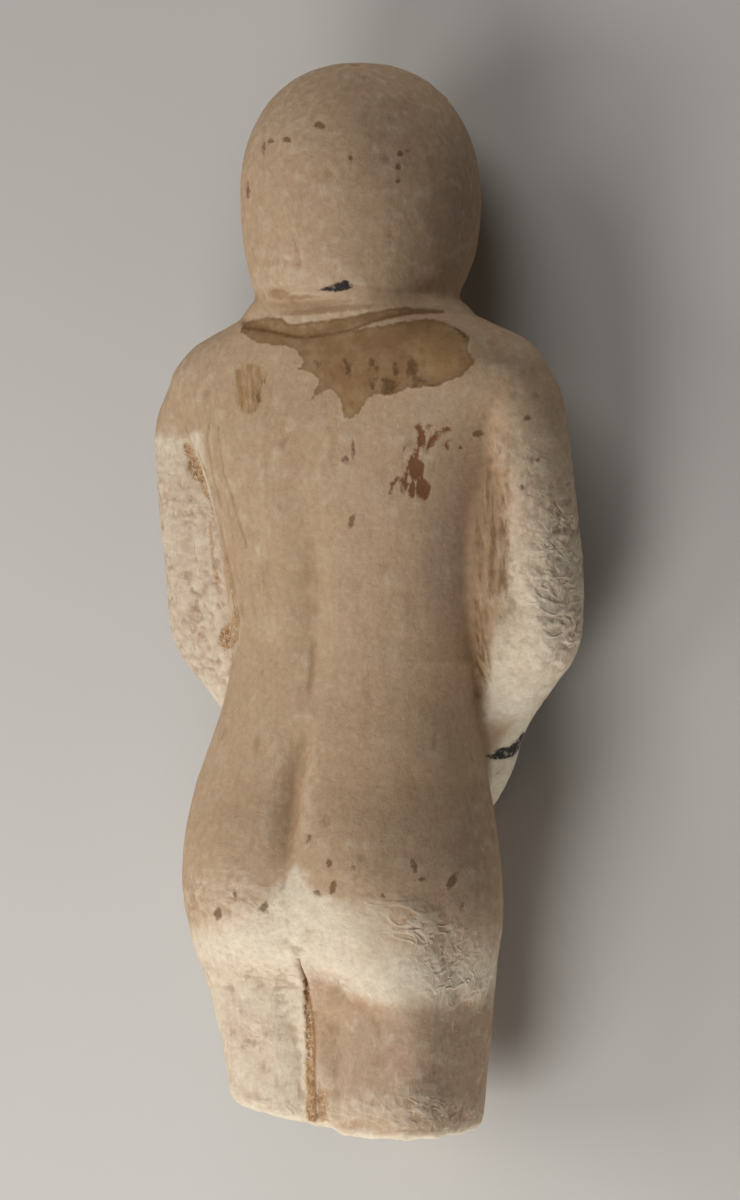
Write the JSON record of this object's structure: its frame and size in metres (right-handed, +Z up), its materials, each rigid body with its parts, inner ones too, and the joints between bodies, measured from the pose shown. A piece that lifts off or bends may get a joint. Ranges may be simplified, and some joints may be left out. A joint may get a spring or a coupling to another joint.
{
  "type": "offering bearer statuette",
  "caption": "Broken pale stone statuette of a figure with a smooth cap and rolled collar, holding a round offering before it, lying on its front.",
  "frame": {"origin": "under the middle of the statuette's box, on the ground it lies on", "axes": "+Y towards the crown, +X towards the figure's right arm, +Z up, to the figure's back"},
  "size_m": [0.087, 0.1976, 0.0494],
  "materials": {
    "stone": "matt, worn, with ochre and brown stains"
  },
  "bodies": {
    "root": {"statuette": "stone"}
  },
  "joints": []
}
